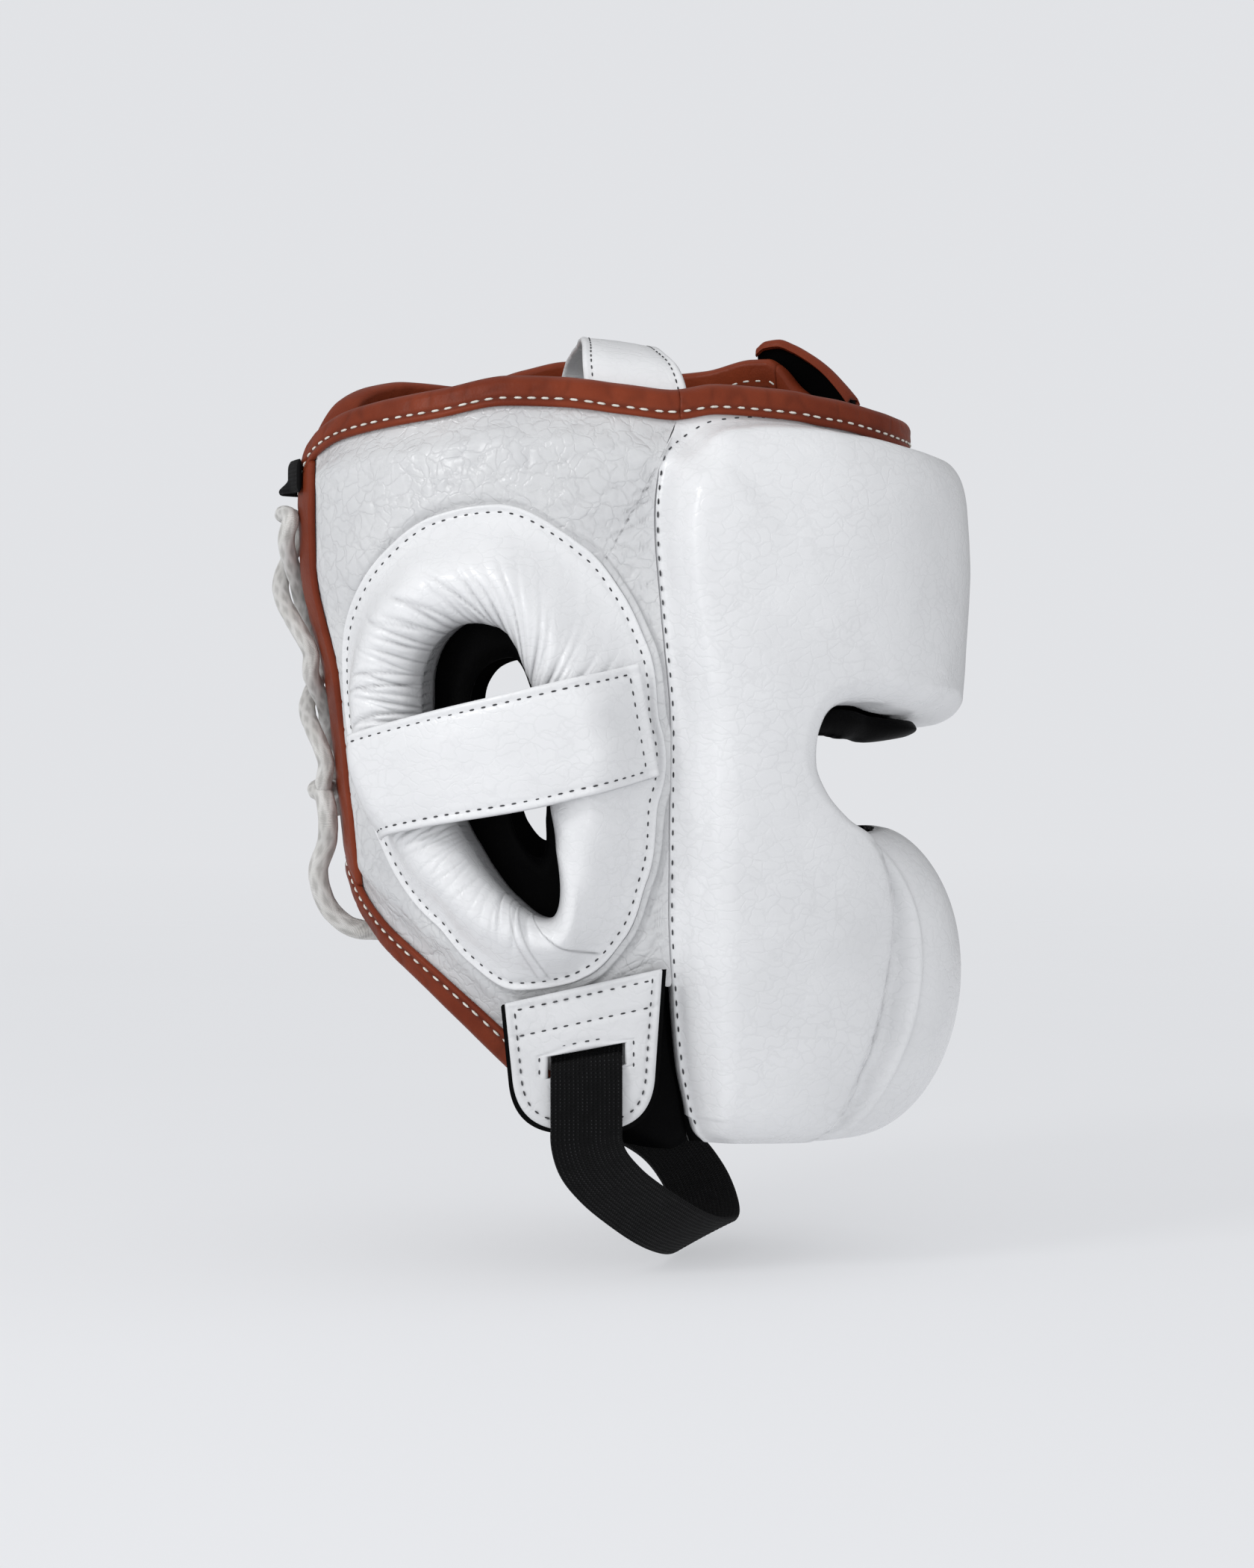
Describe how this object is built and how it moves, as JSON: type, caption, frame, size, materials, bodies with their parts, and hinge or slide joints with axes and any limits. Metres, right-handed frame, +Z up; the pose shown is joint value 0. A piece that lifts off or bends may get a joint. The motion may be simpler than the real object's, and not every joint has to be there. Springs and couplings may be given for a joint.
{
  "type": "boxing head guard",
  "caption": "Padded full-face boxing head guard in white leather with brown bound edges, ear pads, face bar, crown strap, elastic chin strap and back lacing.",
  "frame": {"origin": "where the crown of the wearer's head sits, under the crown strap", "axes": "+X towards the face, +Y to the wearer's left, +Z up"},
  "size_m": [0.2566, 0.2318, 0.3401],
  "materials": {
    "white_leather": "smooth semi-gloss white leather",
    "crinkled_leather": "softly crinkled white leather",
    "brown_leather": "satin chestnut-brown leather binding with white stitches",
    "black_lining": "smooth black lining leather",
    "black_elastic": "ribbed black elastic webbing",
    "white_lace": "braided off-white cotton lace"
  },
  "bodies": {
    "root": {"front_pad": "white_leather", "face_bar": "white_leather", "ear_pad_right": "white_leather", "ear_pad_left": "white_leather", "ear_strap_right": "white_leather", "ear_strap_left": "white_leather", "crown_strap": "white_leather", "chin_tab_right": "white_leather", "chin_tab_left": "white_leather", "side_panel_right": "crinkled_leather", "side_panel_left": "crinkled_leather", "rim_binding_front": "brown_leather", "rim_binding_right": "brown_leather", "rim_binding_left": "brown_leather", "back_binding_right": "brown_leather", "back_binding_left": "brown_leather", "lower_binding_right": "brown_leather", "lower_binding_left": "brown_leather", "flap_binding": "brown_leather", "lining_front": "black_lining", "lining_bar": "black_lining", "lining_right": "black_lining", "lining_left": "black_lining", "forehead_flap": "black_lining", "tab_backing_right": "black_lining", "tab_backing_left": "black_lining", "chin_strap": "black_elastic", "back_webbing": "black_elastic", "back_lace": "white_lace"}
  },
  "joints": []
}
